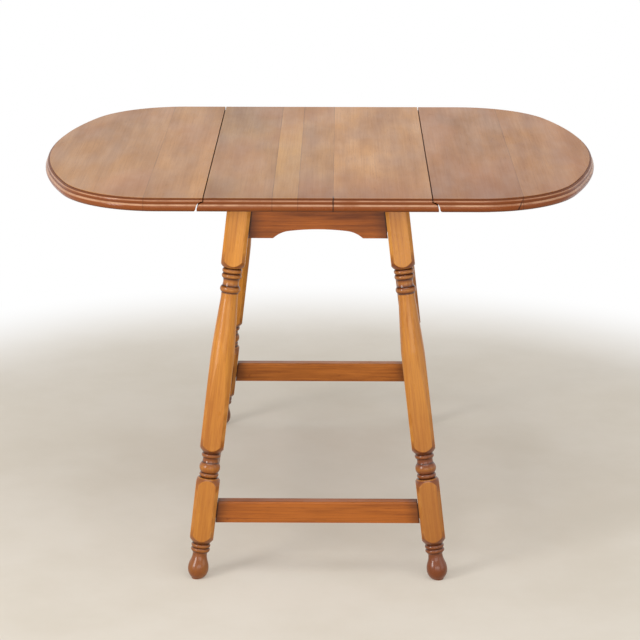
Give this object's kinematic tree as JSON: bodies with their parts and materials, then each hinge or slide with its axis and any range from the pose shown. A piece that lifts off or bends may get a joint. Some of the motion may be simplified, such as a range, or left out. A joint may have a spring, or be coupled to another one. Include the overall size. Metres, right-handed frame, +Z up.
{
  "type": "drop-leaf table",
  "caption": "Wooden pembroke table with a moulded top, rule-jointed drop leaves with rounded corners, splayed turned legs, arched aprons and low stretchers.",
  "frame": {"origin": "on the floor under the middle of the table", "axes": "+X along the length with both leaves up, front towards -Y, +Z up"},
  "size_m": [1.0449, 0.8746, 0.711],
  "materials": {
    "top_wood": "satin varnish",
    "leg_wood": "satin varnish",
    "rail_wood": "satin varnish",
    "inner_wood": "plain",
    "slide_wood": "plain",
    "hinge_metal": "dull"
  },
  "bodies": {
    "frame": {"centre_board_1": "top_wood", "centre_board_2": "top_wood", "centre_board_3": "top_wood", "centre_board_4": "top_wood", "leg_front_left": "leg_wood", "corner_brace_front_left": "inner_wood", "leg_front_right": "leg_wood", "corner_brace_front_right": "inner_wood", "leg_back_left": "leg_wood", "corner_brace_back_left": "inner_wood", "leg_back_right": "leg_wood", "corner_brace_back_right": "inner_wood", "apron_front": "rail_wood", "stretcher_front": "rail_wood", "apron_back": "rail_wood", "stretcher_back": "rail_wood", "apron_left": "rail_wood", "stretcher_left": "rail_wood", "apron_right": "rail_wood", "stretcher_right": "rail_wood", "slide_guide_front": "inner_wood", "slide_guide_back": "inner_wood", "left_front_hinge_fixed_flap": "hinge_metal", "left_front_hinge_pin": "hinge_metal", "left_front_hinge_fixed_screws": "hinge_metal", "left_back_hinge_fixed_flap": "hinge_metal", "left_back_hinge_pin": "hinge_metal", "left_back_hinge_fixed_screws": "hinge_metal", "right_front_hinge_fixed_flap": "hinge_metal", "right_front_hinge_pin": "hinge_metal", "right_front_hinge_fixed_screws": "hinge_metal", "right_back_hinge_fixed_flap": "hinge_metal", "right_back_hinge_pin": "hinge_metal", "right_back_hinge_fixed_screws": "hinge_metal"},
    "left_leaf": {"left_leaf_inner_board": "top_wood", "left_leaf_outer_board": "top_wood", "left_front_hinge_leaf_flap": "hinge_metal", "left_front_hinge_leaf_screws": "hinge_metal", "left_front_bearer": "inner_wood", "left_back_hinge_leaf_flap": "hinge_metal", "left_back_hinge_leaf_screws": "hinge_metal", "left_back_bearer": "inner_wood"},
    "left_front_slide": {"left_front_slide": "slide_wood", "left_front_slide_stop": "slide_wood"},
    "left_back_slide": {"left_back_slide": "slide_wood", "left_back_slide_stop": "slide_wood"},
    "right_leaf": {"right_leaf_inner_board": "top_wood", "right_leaf_outer_board": "top_wood", "right_front_hinge_leaf_flap": "hinge_metal", "right_front_hinge_leaf_screws": "hinge_metal", "right_front_bearer": "inner_wood", "right_back_hinge_leaf_flap": "hinge_metal", "right_back_hinge_leaf_screws": "hinge_metal", "right_back_bearer": "inner_wood"},
    "right_front_slide": {"right_front_slide": "slide_wood", "right_front_slide_stop": "slide_wood"},
    "right_back_slide": {"right_back_slide": "slide_wood", "right_back_slide_stop": "slide_wood"}
  },
  "joints": [
    {"name": "left_leaf_hinge", "type": "hinge", "parent": "frame", "child": "left_leaf", "pos_m": [-0.2, 0, 0.6915], "axis": [0, -1, 0], "range_deg": [0, 90]},
    {"name": "left_front_slide_run", "type": "slide", "parent": "frame", "child": "left_front_slide", "axis": [1, 0, 0], "range_m": [0, 0.115]},
    {"name": "left_back_slide_run", "type": "slide", "parent": "frame", "child": "left_back_slide", "axis": [1, 0, 0], "range_m": [0, 0.115]},
    {"name": "right_leaf_hinge", "type": "hinge", "parent": "frame", "child": "right_leaf", "pos_m": [0.2, 0, 0.6915], "axis": [0, 1, 0], "range_deg": [0, 90]},
    {"name": "right_front_slide_run", "type": "slide", "parent": "frame", "child": "right_front_slide", "axis": [-1, 0, 0], "range_m": [0, 0.115]},
    {"name": "right_back_slide_run", "type": "slide", "parent": "frame", "child": "right_back_slide", "axis": [-1, 0, 0], "range_m": [0, 0.115]}
  ],
  "couplings": [
    {"joint": "left_front_slide_run", "follows": "left_leaf_hinge", "m_per_rad": 0.073211},
    {"joint": "left_back_slide_run", "follows": "left_leaf_hinge", "m_per_rad": 0.073211},
    {"joint": "right_front_slide_run", "follows": "right_leaf_hinge", "m_per_rad": 0.073211},
    {"joint": "right_back_slide_run", "follows": "right_leaf_hinge", "m_per_rad": 0.073211}
  ]
}
